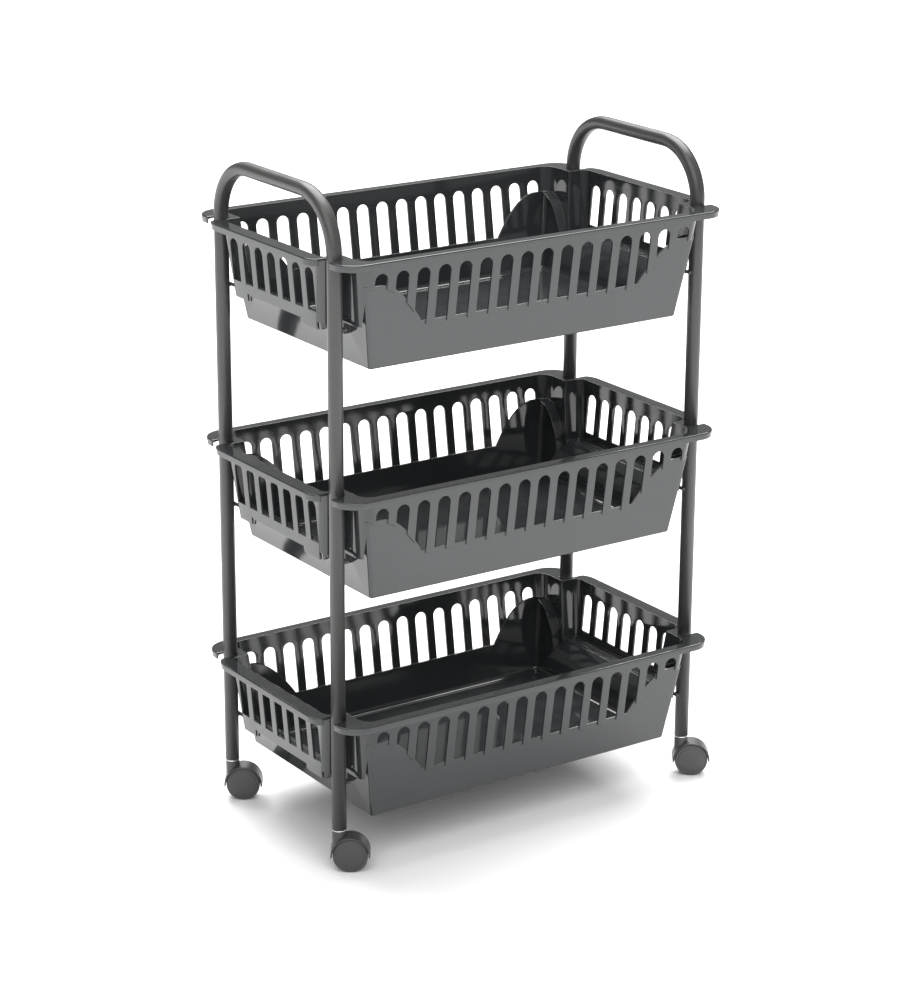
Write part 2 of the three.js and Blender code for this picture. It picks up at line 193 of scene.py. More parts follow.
def block(points, low, high, axis="Z"):
    """An outline drawn across the axis, drawn out from low to high along it."""
    place = {
        "X": lambda a, b: (low, a, b),
        "Y": lambda a, b: (a, low, b),
        "Z": lambda a, b: (a, b, low),
    }[axis]
    along = {"X": Vector((1, 0, 0)), "Y": Vector((0, 1, 0)), "Z": Vector((0, 0, 1))}[axis]
    bm = bmesh.new()
    face = bm.faces.new([bm.verts.new(place(a, b)) for a, b in points])
    grown = bmesh.ops.extrude_face_region(bm, geom=[face])
    bmesh.ops.translate(bm, verts=verts_of(grown), vec=along * (high - low))
    bmesh.ops.recalc_face_normals(bm, faces=bm.faces)
    return bm


def cuboid(x0, x1, y0, y1, z0, z1):
    return block([(x0, y0), (x1, y0), (x1, y1), (x0, y1)], z0, z1)


def mirrored(points):
    return [(-a, b) for a, b in points[::-1]]


def lean(bm, draft_x, draft_y, reference_z):
    """Walls lean inwards below the reference height, as a mould's draft makes them."""
    for vert in bm.verts:
        below = reference_z - vert.co.z
        vert.co.x -= math.copysign(draft_x * below, vert.co.x)
        vert.co.y -= math.copysign(draft_y * below, vert.co.y)
    return bm


def round_edges(bm, wanted, radius, segments):
    edges = [edge for edge in bm.edges if wanted(edge)]
    bmesh.ops.bevel(
        bm, geom=edges, offset=radius, segments=segments, profile=0.5,
        affect="EDGES", clamp_overlap=False, material=-1,
    )
    return bm


def combine(target, tools, operation):
    """Joins, cuts or intersects closed meshes, and takes the tools away."""
    for tool in tools:
        step = target.modifiers.new(operation, "BOOLEAN")
        step.operation = operation
        step.solver = "MANIFOLD"
        step.object = tool
    depsgraph = bpy.context.evaluated_depsgraph_get()
    made = bpy.data.meshes.new_from_object(target.evaluated_get(depsgraph))
    target.modifiers.clear()
    worn = target.data
    target.data = made
    bpy.data.meshes.remove(worn)
    for tool in tools:
        mesh = tool.data
        bpy.data.objects.remove(tool)
        bpy.data.meshes.remove(mesh)
    return target


def part(bm):
    return piece_from(bm, "part")


def join(target, *tools):
    return combine(target, tools, "UNION")


def cut(target, *tools):
    return combine(target, tools, "DIFFERENCE")


def keep(target, *tools):
    return combine(target, tools, "INTERSECT")


def copy_of(obj):
    twin = obj.copy()
    twin.data = obj.data.copy()
    bpy.context.scene.collection.objects.link(twin)
    return twin


def soften(obj, radius, segments=2, angle=38):
    """Cleans flat areas and rounds every sharp edge of a finished solid.

    A long outline with many slots crosses itself when its edges are rounded, so it is split first.
    """
    bm = bmesh.new()
    bm.from_mesh(obj.data)
    bmesh.ops.remove_doubles(bm, verts=bm.verts, dist=MERGE)
    bmesh.ops.dissolve_limit(bm, angle_limit=FLAT_ANGLE, verts=bm.verts, edges=bm.edges)
    bmesh.ops.triangulate(bm, faces=[f for f in bm.faces if len(f.verts) > LONG_OUTLINE])
    limit = math.radians(angle)
    sharp = [e for e in bm.edges if len(e.link_faces) == 2 and e.calc_face_angle() > limit]
    bmesh.ops.bevel(
        bm, geom=sharp, offset=radius, segments=segments, profile=0.5,
        affect="EDGES", clamp_overlap=False, material=-1,
    )
    bmesh.ops.remove_doubles(bm, verts=bm.verts, dist=MERGE)
    bm.to_mesh(obj.data)
    bm.free()
    return obj


def smooth(obj, angle=40):
    obj.data.shade_smooth()
    obj.data.set_sharp_from_angle(angle=math.radians(angle))
    weighted = obj.modifiers.new("even_normals", "WEIGHTED_NORMAL")
    weighted.mode = "FACE_AREA"
    weighted.keep_sharp = True
    return obj


def moved_copy(source, name, place):
    twin = bpy.data.objects.new(name, source.data.copy())
    twin.data.name = name
    bpy.context.scene.collection.objects.link(twin)
    twin.data.transform(place)
    return twin


def discard(obj):
    mesh = obj.data
    bpy.data.objects.remove(obj)
    bpy.data.meshes.remove(mesh)


# ---- end frame ----
def tube_mesh(side):
    """Two posts and the handle bent from one tube, its two bends pressed a little flat."""
    sides, bend_steps = 40, 20
    bm = bmesh.new()
    ring = bmesh.ops.create_circle(bm, cap_ends=False, radius=TUBE_R, segments=sides)
    foot = Vector((side * POST_X, -POST_Y, TUBE_END_Z))
    bmesh.ops.translate(bm, verts=ring["verts"], vec=foot)
    loop = list(bm.edges)

    def run_on(edges, vec):
        grown = bmesh.ops.extrude_edge_only(bm, edges=edges)
        bmesh.ops.translate(bm, verts=verts_of(grown), vec=vec)
        return edges_of(grown)

    straight = HANDLE_Z - BEND_R - TUBE_END_Z
    loop = run_on(loop, (0, 0, straight))
    for centre_y, across in ((BEND_R - POST_Y, 2 * (POST_Y - BEND_R)), (POST_Y - BEND_R, 0)):
        centre = Vector((side * POST_X, centre_y, HANDLE_Z - BEND_R))
        spun = bmesh.ops.spin(
            bm, geom=loop, cent=centre, axis=(-1, 0, 0), angle=math.pi / 2,
            steps=bend_steps, use_merge=False, use_duplicate=False,
        )
        loop = edges_of(spun, "geom_last")
        if across:
            loop = run_on(loop, (0, across, 0))
    run_on(loop, (0, 0, -straight))
    bmesh.ops.remove_doubles(bm, verts=bm.verts, dist=1e-6)
    for vert in bm.verts:
        press_bend(vert, side)
    bmesh.ops.recalc_face_normals(bm, faces=bm.faces)
    return bm


def press_bend(vert, side):
    """Squares the tube's section a little along each bend."""
    centre = Vector((side * POST_X, math.copysign(POST_Y - BEND_R, vert.co.y), HANDLE_Z - BEND_R))
    arm = vert.co - centre
    if arm.z <= 0 or arm.y * centre.y < 0:
        return
    turn = math.atan2(arm.z, abs(arm.y))
    amount = math.sin(2 * turn) ** 0.6
    out = math.hypot(arm.y, arm.z)
    across, outwards = arm.x, out - BEND_R
    angle = math.atan2(outwards, across)
    squarer = (abs(math.cos(angle)) ** 3 + abs(math.sin(angle)) ** 3) ** (-1 / 3)
    grow = 1 + (squarer - 1) * BEND_FLATS * amount
    across *= grow * (1 + 0.02 * amount)
    outwards *= grow * (1 - BEND_SQUASH * amount)
    scale = (BEND_R + outwards) / out
    vert.co = centre + Vector((across, arm.y * scale, arm.z * scale))


def make_tube(side, name):
    tube = piece_from(tube_mesh(side), name)
    wall = tube.modifiers.new("wall", "SOLIDIFY")
    wall.thickness = TUBE_WALL
    wall.offset = -1
    tube.data.shade_smooth()
    tube.data.set_sharp_from_angle(angle=math.radians(ROUND_SMOOTH))
    return tube


# ---- cross wires ----
def make_wire(side, z, name):
    """A straight wire with a weld bead at each post."""
    reach = POST_Y + 0.004
    bm = bmesh.new()
    bmesh.ops.create_cone(
        bm, cap_ends=True, segments=20, radius1=WIRE_R, radius2=WIRE_R, depth=2 * reach,
        matrix=Matrix.Rotation(math.pi / 2, 4, "X"),
    )
    round_edges(bm, lambda e: abs(e.verts[0].co.y - e.verts[1].co.y) < 1e-6, WIRE_R * 0.35, 2)
    wire = part(bm)
    beads = []
    for end in (-1, 1):
        bead = bmesh.new()
        bmesh.ops.create_uvsphere(bead, u_segments=20, v_segments=12, radius=1.0)
        bmesh.ops.scale(bead, vec=(0.0019, 0.0034, 0.0023), verts=bead.verts)
        bmesh.ops.translate(bead, verts=bead.verts, vec=(WIRE_R * 0.9, end * POST_Y, 0))
        beads.append(part(bead))
    join(wire, *beads)
    wire.data.transform(Matrix.Translation((WIRE_X, 0, 0)))
    finished = moved_copy(wire, name, Matrix.Translation((0, 0, z)))
    discard(wire)
    if side < 0:
        finished.data.transform(Matrix.Scale(-1, 4, (1, 0, 0)))
        finished.data.flip_normals()
    finished.data.shade_smooth()
    finished.data.set_sharp_from_angle(angle=math.radians(ROUND_SMOOTH))
    return finished


# ---- basket ----
def shell_outline(thickness):
    """Quarter outline of the slotted wall, with a column that stands back from the post."""
    concave = max(0.002 - thickness, 0.0006)
    edge_y = COLUMN_Y + thickness
    edge_x = COLUMN_X + thickness
    return four_ways(
        arc(SHELL_X - 0.008, COLUMN_Y - 0.008, 0.008 + thickness, 0, 90, 8)
        + arc(edge_x + concave, edge_y + concave, concave, 270, 180, 3)
        + arc(COLUMN_X - CORNER_RX, SHELL_Y - CORNER_RY, CORNER_RX + thickness, 0, 90, 16,
              ry=CORNER_RY + thickness)
    )


def sweep(lower):
    """Half of the solid panel's upper edge: low in the middle, rising to a hump at the corner."""
    steps = 18
    half = []
    for i in range(steps + 1):
        x = SWEEP_START_X + (SWEEP_END_X - SWEEP_START_X) * i / steps
        rise = 1 - (1 - i / steps) ** SWEEP_BULGE
        half.append((x, PANEL_LOW_Z + (PANEL_HIGH_Z - PANEL_LOW_Z) * rise - lower))
    return half


def gusset(lift):
    """Edge that climbs from the bin's end up to the hump beside the corner."""
    steps = 12
    points = []
    for i in range(steps + 1):
        t = i / steps
        a, b, c = (1 - t) ** 2, 2 * t * (1 - t), t * t
        y = a * GUSSET_FOOT_Y + b * (GUSSET_FOOT_Y + 0.005) + c * GUSSET_HEAD_Y
        z = a * BIN_END_TOP_Z + b * (PANEL_HIGH_Z - 0.007) + c * PANEL_HIGH_Z
        points.append((y + lift * (1 - t), z - lift * t))
    return points


def slotted_wall(bin_top_x):
    """The drafted ring with its feet, hook notches and slots."""
    top = RIM_Z
    depth = FOOT_DROP + 0.006
    outer = part(lean(block(shell_outline(WALL), -depth, top), END_DRAFT, LONG_DRAFT, top))
    inner = part(lean(block(shell_outline(0), -depth - 0.001, top + 0.0005), END_DRAFT, LONG_DRAFT, top))
    ring = cut(copy_of(outer), copy_of(inner))

    lowered = sweep(BAR_LAP)
    hem_x = bin_top_x - 0.003
    skirt_x = WIRE_X + WIRE_R + 0.002
    half = [
        *lowered,
        (hem_x, PANEL_HIGH_Z - BAR_LAP),
        (hem_x, LEDGE_Z),
        (skirt_x, LEDGE_Z),
        (skirt_x, 0.001),
        (RIM_X, 0.001),
        (RIM_X, top + 0.001),
    ]
    wall = keep(copy_of(ring), part(block(half + mirrored(half), -RIM_Y, RIM_Y, "Y")))

    feet, hooks = [], []
    for side in (-1, 1):
        x0, x1 = sorted((side * skirt_x, side * RIM_X))
        for start in (FOOT_START_Y, -FOOT_END_Y):
            end = start + FOOT_END_Y - FOOT_START_Y
            foot = block(
                [(start, 0.002)]
                + arc(start + 0.004, 0.004 - FOOT_DROP, 0.004, 180, 270, 5)
                + arc(end - 0.004, 0.004 - FOOT_DROP, 0.004, 270, 360, 5)
                + [(end, 0.002)],
                x0, x1, "X",
            )
            feet.append(keep(part(foot), copy_of(ring)))
            hook = end - 0.0055 if side > 0 else start + 0.0025
            hooks.append(part(cuboid(x0, x1, hook, hook + HOOK_W, -FOOT_DROP - 0.001, 0.004)))
    join(wall, *feet)

    def slot_outline(centre, bottom):
        return (
            [(centre + SLOT_W / 2, bottom)]
            + arc(centre, SLOT_TOP - SLOT_W / 2, SLOT_W / 2, 0, 180, 14)
            + [(centre - SLOT_W / 2, bottom)]
        )

    slots = []
    for i in range(LONG_SLOTS):
        centre = (i - (LONG_SLOTS - 1) / 2) * LONG_SLOT_PITCH
        slots.append(part(block(slot_outline(centre, -FOOT_DROP - 0.005), -RIM_Y, RIM_Y, "Y")))
    for i in range(END_SLOTS):
        centre = (i - (END_SLOTS - 1) / 2) * END_SLOT_PITCH
        slots.append(part(block(slot_outline(centre, END_SLOT_BOTTOM), -RIM_X, RIM_X, "X")))
    cut(wall, *hooks, *slots)
    discard(ring)
    return wall, outer, inner


def bin_solids(bin_x, panel_y):
    """The solid lower box, with a rounded floor edge inside, before its top edge is shaped."""
    def outline(inset, radius):
        return four_ways(
            arc(bin_x - inset - radius, panel_y - inset - radius, radius, 0, 90, 6)
        )

    def box_with(inset, radius, foot, head, fillet, segments):
        bm = block(outline(inset, radius), foot, head)
        round_edges(bm, lambda e: all(v.co.z < foot + 1e-6 for v in e.verts), fillet, segments)
        return part(lean(bm, LONG_DRAFT, LONG_DRAFT, RIM_Z))

    outer = box_with(0, 0.0034, FLOOR_Z, PANEL_HIGH_Z, 0.0022, 4)
    hollow = box_with(WALL, 0.0052, FLOOR_Z + WALL, PANEL_HIGH_Z + 0.001, FLOOR_FILLET, 6)
    return outer, hollow


def shaped_bin(bin_outer, bin_hollow):
    raised = sweep(0)
    half = [*raised, (RIM_X, PANEL_HIGH_Z), (RIM_X, FLOOR_Z - 0.001)]
    side_view = block(half + mirrored(half), -RIM_Y, RIM_Y, "Y")
    climb = gusset(0)
    half = [*climb, (RIM_Y, PANEL_HIGH_Z), (RIM_Y, FLOOR_Z - 0.001)]
    end_view = block(half + mirrored(half), -RIM_X, RIM_X, "X")
    cut(bin_outer, bin_hollow)
    return keep(bin_outer, part(side_view), part(end_view))


def ledges(bin_x, limits):
    """A slope out of the bin, then a flat shelf over the wire, with two ribs and a gusset at each side."""
    slope_foot = bin_x - LONG_DRAFT * (RIM_Z - BIN_END_TOP_Z)
    slope_head = COLUMN_X - 0.001
    width = GUSSET_FOOT_Y + 0.0008
    pieces = []
    for side in (-1, 1):
        profile = [
            (slope_foot - WALL, BIN_END_TOP_Z),
            (slope_foot, BIN_END_TOP_Z),
            (slope_head, LEDGE_Z),
            (RIM_X, LEDGE_Z),
            (RIM_X, LEDGE_Z + WALL),
            (slope_head - 0.001, LEDGE_Z + WALL),
        ]
        pieces.append(part(block(profile if side > 0 else mirrored(profile), -width, width, "Y")))
        for x in (slope_head + 0.001, slope_head + 0.009):
            rib = cuboid(x - RIB_W / 2, x + RIB_W / 2, -COLUMN_Y + 0.02, COLUMN_Y - 0.02,
                         LEDGE_Z + 0.001, LEDGE_Z + WALL + 0.0012)
            round_edges(rib, lambda e: all(v.co.z > LEDGE_Z + WALL for v in e.verts), 0.0007, 3)
            if side < 0:
                bmesh.ops.scale(rib, vec=(-1, 1, 1), verts=rib.verts)
                bmesh.ops.reverse_faces(rib, faces=rib.faces)
            pieces.append(part(rib))
        for end in (-1, 1):
            strip = gusset(0) + gusset(WALL)[::-1]
            if end < 0:
                strip = mirrored(strip)
            x0, x1 = sorted((side * (slope_foot - WALL), side * RIM_X))
            pieces.append(part(block(strip, x0, x1, "X")))
    first = pieces[0]
    join(first, *pieces[1:])
    return keep(first, limits)


def rim(inner):
    """Flat flange with a rounded edge, a stepped lip and a notch round each post."""
    top = RIM_Z
    notch_side = POST_Y - NOTCH_R
    notch_far = POST_Y + NOTCH_R
    corner_x = RIM_X - 0.010
    outline = four_ways(
        arc(RIM_X - 0.008, notch_side - 0.017, 0.008, 0, 90, 10, ry=0.017)
        + arc(POST_X, POST_Y, NOTCH_R, 270, 90, 18)
        + arc(corner_x - 0.002, notch_far + 0.002, 0.002, 270, 360, 4)
        + arc(corner_x - LOBE_R, RIM_Y - LOBE_R, LOBE_R, 12, 90, 14)
    )
    flange = block(outline, top - 0.003, top)
    under = [f for f in flange.faces if f.normal.z < -0.9]
    bmesh.ops.inset_region(flange, faces=under, thickness=LIP_STEP, use_even_offset=True)
    under = [f for f in flange.faces if f.normal.z < -0.9 and len(f.verts) > 20]
    grown = bmesh.ops.extrude_face_region(flange, geom=under)
    bmesh.ops.translate(flange, verts=verts_of(grown), vec=(0, 0, 0.003 - LIP_DROP))
    bmesh.ops.delete(flange, geom=under, context="FACES_ONLY")
    round_edges(flange, lambda e: all(v.co.z > top - 1e-6 for v in e.verts), RIM_ROUND, 4)
    body = part(flange)

    hollow = four_ways(
        arc(RIM_X - WALL - 0.008, notch_side - 0.017, 0.008, 0, 60, 6, ry=0.0125)
        + [(RIM_X - 0.010, notch_side), (RIM_X - 0.010, notch_side + 0.002)]
        + [(COLUMN_X, notch_side + 0.002), (COLUMN_X, notch_far - 0.002)]
        + [(corner_x - WALL, notch_far - 0.002), (corner_x - WALL, notch_far + 0.002)]
        + arc(corner_x - LOBE_R, RIM_Y - LOBE_R, LOBE_R - WALL, 12, 90, 14)
    )
    return cut(body, part(block(hollow, top - LIP_DROP - 0.001, top - FLANGE_T)), inner)


def make_basket():
    """One moulded basket about its wires' height."""
    bin_x = POST_X - BIN_END_IN
    panel_y = SHELL_Y + WALL - PANEL_INSET
    bin_top_x = bin_x - LONG_DRAFT * (RIM_Z - PANEL_HIGH_Z)
    wall, outer, inner = slotted_wall(bin_top_x)
    bin_outer, bin_hollow = bin_solids(bin_x, panel_y)
    limits = join(outer, copy_of(bin_outer))
    shelf = ledges(bin_x, limits)
    box = shaped_bin(bin_outer, bin_hollow)
    join(wall, box, shelf, rim(inner))
    return soften(wall, EDGE_ROUND)


# ---- casters ----
def spun(profile, steps):
    """Turns a closed profile of (radius, along) about the Y axis."""
    bm = bmesh.new()
    verts = [bm.verts.new((r, y, 0)) for r, y in profile]
    edges = [bm.edges.new((verts[i], verts[i + 1])) for i in range(len(verts) - 1)]
    bmesh.ops.spin(
        bm, geom=verts + edges, cent=(0, 0, 0), axis=(0, 1, 0), angle=2 * math.pi,
        steps=steps, use_merge=True, use_duplicate=False,
    )
    bmesh.ops.remove_doubles(bm, verts=bm.verts, dist=1e-6)
    bmesh.ops.recalc_face_normals(bm, faces=bm.faces)
    return bm


def cylinder_y(radius, y0, y1, segments=48):
    bm = bmesh.new()
    turn = Matrix.Translation((0, (y0 + y1) / 2, 0)) @ Matrix.Rotation(math.pi / 2, 4, "X")
    bmesh.ops.create_cone(
        bm, cap_ends=True, segments=segments, radius1=radius, radius2=radius, depth=y1 - y0, matrix=turn
    )
    return bm


def cylinder_z(radius, z0, z1, segments=40):
    bm = bmesh.new()
    bmesh.ops.create_cone(
        bm, cap_ends=True, segments=segments, radius1=radius, radius2=radius, depth=z1 - z0,
        matrix=Matrix.Translation((0, 0, (z0 + z1) / 2)),
    )
    return bm


def hub_shift(trail):
    return Matrix.Translation((trail, 0, WHEEL_R))


def placed(obj, matrix):
    obj.data.transform(matrix)
    return obj


def make_housing(trail):
    """Hood over both wheels with pointed tips, web, neck and bores."""
    hood_r = WHEEL_R + WHEEL_GAP + HOOD_T
    half_w = WEB_T / 2 + WHEEL_GAP + WHEEL_W
    neck_top = TUBE_END_Z - COLLAR_T - GAP * 2
    tip = hood_r * math.sin(math.radians(8))
    outline = (
        [(hood_r, -tip)]
        + arc(0, 0, hood_r, 0, 180, 40)
        + [(-hood_r, -tip), (0.001 - WHEEL_R, 0.0012), (-0.006, 0), (0.006, 0), (WHEEL_R - 0.001, 0.0012)]
    )
    crown = block(outline, -half_w, half_w, "Y")

    def on_rim(edge):
        flat = abs(edge.verts[0].co.y - edge.verts[1].co.y) < 1e-6
        far = all(math.hypot(v.co.x, v.co.z) > hood_r - 1e-5 for v in edge.verts)
        return flat and far and min(v.co.z for v in edge.verts) > -1e-6

    round_edges(crown, on_rim, 0.0011, 4)
    hood = part(crown)
    pockets = []
    for side in (-1, 1):
        y0, y1 = sorted((side * WEB_T / 2, side * (half_w + 0.001)))
        pockets.append(part(cylinder_y(WHEEL_R + WHEEL_GAP, y0, y1, 72)))
    cut(hood, *pockets)
    join(hood, part(cylinder_y(AXLE_R + 0.0025, -WEB_T / 2, WEB_T / 2, 32)))
    placed(hood, hub_shift(trail))
    neck = part(round_edges(
        cylinder_z(NECK_R, WHEEL_R + 0.006, neck_top),
        lambda e: all(v.co.z > neck_top - 1e-6 for v in e.verts), 0.0006, 3,
    ))
    cut(neck, placed(part(cylinder_y(WHEEL_R + WHEEL_GAP, -half_w - 0.001, half_w + 0.001, 72)),
                     hub_shift(trail)))
    join(hood, neck)
    stem_foot = stem_foot_height(trail)
    bore = part(cylinder_z(STEM_R + GAP, stem_foot - GAP, TUBE_END_Z))
    axle_hole = placed(part(cylinder_y(AXLE_R + GAP, -half_w, half_w, 32)), hub_shift(trail))
    cut(hood, bore, axle_hole)
    return smooth(soften(hood, HOOD_ROUND, 2, BASKET_SMOOTH), BASKET_SMOOTH)


def stem_foot_height(trail):
    clear = WHEEL_R + WHEEL_GAP
    return WHEEL_R + math.sqrt(clear ** 2 - (trail - STEM_R) ** 2) + GAP + 0.0012


def make_stem(trail):
    """Plated pin with a rounded collar under the tube's end."""
    foot = stem_foot_height(trail)
    head = TUBE_END_Z + SOCKET_DEPTH - 0.003
    low = TUBE_END_Z - COLLAR_T - GAP
    high = TUBE_END_Z - GAP
    edge = (high - low) * 0.42
    profile = (
        [(0, foot), (STEM_R - 0.0006, foot), (STEM_R, foot + 0.0006), (STEM_R, low)]
        + [(COLLAR_R - edge, low)]
        + arc(COLLAR_R - edge, low + edge, edge, 270, 360, 4)
        + arc(COLLAR_R - edge, high - edge, edge, 0, 90, 4)
        + [(STEM_R, high), (STEM_R, head - 0.001), (STEM_R - 0.001, head), (0, head)]
    )
    stem = piece_from(spun(profile, 40), "stem")
    stem.data.transform(Matrix.Rotation(math.pi / 2, 4, "X"))
    stem.data.shade_smooth()
    stem.data.set_sharp_from_angle(angle=math.radians(ROUND_SMOOTH))
    return stem


def make_wheel(trail, side):
    """A domed wheel with a rounded tread, a fine groove round its disc and a hollow back."""
    blind = WHEEL_W - 0.0024
    face = WHEEL_W - 0.0005
    bore = AXLE_R + GAP
    profile = (
        [(0, blind), (bore, blind), (bore, 0), (0.0052, 0), (0.0056, 0.0022), (0.0138, 0.0022), (0.0142, 0)]
        + arc(WHEEL_R - 0.0009, 0.0009, 0.0009, 270, 360, 3)
        + arc(WHEEL_R - 0.0015, WHEEL_W - 0.0022, 0.0015, 0, 84, 7)
        + [(WHEEL_R - 0.0026, face - 0.0001), (WHEEL_R - 0.0029, face - 0.0003), (WHEEL_R - 0.0032, face)]
        + [(r * 0.001, WHEEL_W - 0.0005 * (r / 14.3) ** 2) for r in (12, 9, 6, 3)]
        + [(0, WHEEL_W)]
    )
    bm = spun(profile, 72)
    bmesh.ops.translate(bm, verts=bm.verts, vec=(0, WEB_T / 2 + WHEEL_GAP, 0))
    if side < 0:
        bmesh.ops.scale(bm, vec=(1, -1, 1), verts=bm.verts)
        bmesh.ops.recalc_face_normals(bm, faces=bm.faces)
    wheel = placed(part(bm), hub_shift(trail))
    wheel.data.shade_smooth()
    wheel.data.set_sharp_from_angle(angle=math.radians(ROUND_SMOOTH))
    return wheel


# ---- material helpers ----
class Tree:
    """Short ways to add and join nodes in one node tree."""

    def __init__(self, tree):
        self.tree = tree

    def node(self, kind, **values):
        made = self.tree.nodes.new(kind)
        for key, value in values.items():
            setattr(made, key, value)
        return made

    def join(self, source, target):
        self.tree.links.new(source, target)

    def feed(self, socket, value):
        if isinstance(value, bpy.types.NodeSocket):
            self.join(value, socket)
        else:
            socket.default_value = value

    def math(self, operation, a, b=0.0, clamp=False):
        made = self.node("ShaderNodeMath", operation=operation, use_clamp=clamp)
        self.feed(made.inputs[0], a)
        self.feed(made.inputs[1], b)
        return made.outputs[0]

    def noise(self, vector, scale, detail=3.0, roughness=0.55):
        made = self.node("ShaderNodeTexNoise")
        self.feed(made.inputs["Vector"], vector)
        self.feed(made.inputs["Scale"], scale)
        made.inputs["Detail"].default_value = detail
        made.inputs["Roughness"].default_value = roughness
        return made.outputs["Fac"]

    def spread(self, value, low, high, to_low=0.0, to_high=1.0):
        made = self.node("ShaderNodeMapRange", clamp=True)
        for name, item in zip(("Value", "From Min", "From Max", "To Min", "To Max"),
                              (value, low, high, to_low, to_high)):
            self.feed(made.inputs[name], item)
        return made.outputs["Result"]

    def mapped(self, vector, scale=(1, 1, 1), turn=(0, 0, 0)):
        made = self.node("ShaderNodeMapping")
        self.join(vector, made.inputs["Vector"])
        made.inputs["Scale"].default_value = scale
        made.inputs["Rotation"].default_value = turn
        return made.outputs["Vector"]

    def blend(self, amount, a, b, mode="MIX"):
        made = self.node("ShaderNodeMix", data_type="RGBA", blend_type=mode)
        self.feed(made.inputs[0], amount)
        self.feed(made.inputs[6], a)
        self.feed(made.inputs[7], b)
        return made.outputs[2]


def group(name, inputs, outputs, build):
    """A node group with named sockets, whose inside is made by the build function."""
    tree = bpy.data.node_groups.new(name, "ShaderNodeTree")
    for label, kind, default in inputs:
        made = tree.interface.new_socket(label, in_out="INPUT", socket_type=f"NodeSocket{kind}")
        if default is not None:
            made.default_value = default
    for label, kind in outputs:
        tree.interface.new_socket(label, in_out="OUTPUT", socket_type=f"NodeSocket{kind}")
    kit = Tree(tree)
    start = kit.node("NodeGroupInput")
    end = kit.node("NodeGroupOutput")
    for label, socket in build(kit, start.outputs).items():
        kit.join(socket, end.inputs[label])
    return tree


def build_moulded_skin(kit, given):
    """Slow waviness of a moulded wall under a fine pebbled grain."""
    wave = kit.noise(given["Vector"], kit.math("MULTIPLY", given["Scale"], 0.035), 1.5, 0.4)
    grain = kit.noise(given["Vector"], given["Scale"], 2.0, 0.6)
    height = kit.math("ADD", kit.math("MULTIPLY", wave, given["Waviness"]),
                      kit.math("MULTIPLY", grain, given["Grain"]))
    return {"Height": height}


def build_edge_wear(kit, given):
    """Where an edge is exposed, broken up so that the wear is uneven."""
    bevel = kit.node("ShaderNodeBevel", samples=4)
    kit.join(given["Width"], bevel.inputs["Radius"])
    plain = kit.node("ShaderNodeNewGeometry")
    across = kit.node("ShaderNodeVectorMath", operation="DOT_PRODUCT")
    kit.join(bevel.outputs["Normal"], across.inputs[0])
    kit.join(plain.outputs["Normal"], across.inputs[1])
    edge = kit.spread(kit.math("SUBTRACT", 1.0, across.outputs["Value"]), 0.02, 0.22)
    breaks = kit.spread(kit.noise(given["Vector"], 240.0, 4.0, 0.65), 0.42, 0.62)
    return {"Mask": kit.math("MULTIPLY", kit.math("MULTIPLY", edge, breaks), given["Amount"], clamp=True)}


def build_handling(kit, given):
    """Smears and polish left by handling, for roughness."""
    broad = kit.noise(given["Vector"], 9.0, 3.0, 0.6)
    fine = kit.noise(kit.mapped(given["Vector"], (1, 1, 0.35), (0.3, 0.2, 0.5)), 55.0, 4.0, 0.6)
    mixed = kit.math("ADD", kit.math("MULTIPLY", broad, 0.6), kit.math("MULTIPLY", fine, 0.4))
    return {"Value": kit.spread(mixed, 0.34, 0.66, given["Low"], given["High"])}


def build_scratches(kit, given):
    """Two crossing families of hairline scratches."""
    lines = []
    for turn, scale in (((0.2, 0.1, 0.6), (6, 420, 420)), ((0.9, 0.4, -0.5), (420, 5, 420))):
        streak = kit.noise(kit.mapped(given["Vector"], scale, turn), 1.0, 1.0, 0.5)
        lines.append(kit.spread(streak, 0.685, 0.72))
    patches = kit.spread(kit.noise(given["Vector"], 14.0, 2.0, 0.5), 0.5, 0.7)
    both = kit.math("MAXIMUM", lines[0], lines[1])
    return {"Mask": kit.math("MULTIPLY", both, kit.math("MULTIPLY", patches, given["Amount"]), clamp=True)}


def build_dust(kit, given):
    """A faint film that settles on faces that look up."""
    shape = kit.node("ShaderNodeNewGeometry")
    parts = kit.node("ShaderNodeSeparateXYZ")
    kit.join(shape.outputs["Normal"], parts.inputs[0])
    upward = kit.spread(parts.outputs["Z"], 0.55, 0.98)
    cloud = kit.spread(kit.noise(given["Vector"], 34.0, 5.0, 0.65), 0.38, 0.7)
    return {"Mask": kit.math("MULTIPLY", kit.math("MULTIPLY", upward, cloud), given["Amount"], clamp=True)}


SKIN = group("moulded_skin",
             [("Vector", "Vector", None), ("Scale", "Float", 900.0), ("Waviness", "Float", 0.5),
              ("Grain", "Float", 0.1)],
             [("Height", "Float")], build_moulded_skin)
WEAR = group("edge_wear",
             [("Vector", "Vector", None), ("Width", "Float", 0.0008), ("Amount", "Float", 0.4)],
             [("Mask", "Float")], build_edge_wear)
HANDLING = group("handling",
                 [("Vector", "Vector", None), ("Low", "Float", 0.2), ("High", "Float", 0.3)],
                 [("Value", "Float")], build_handling)
SCRATCHES = group("hairline_scratches",
                  [("Vector", "Vector", None), ("Amount", "Float", 0.4)],
                  [("Mask", "Float")], build_scratches)
DUST = group("settled_dust",
             [("Vector", "Vector", None), ("Amount", "Float", 0.2)],
             [("Mask", "Float")], build_dust)


def placed_group(kit, tree, vector, **values):
    """Puts a shared group into a material with that material's own values."""
    made = kit.node("ShaderNodeGroup", node_tree=tree)
    kit.join(vector, made.inputs["Vector"])
    for label, value in values.items():
        made.inputs[label].default_value = value
    return made.outputs[0]


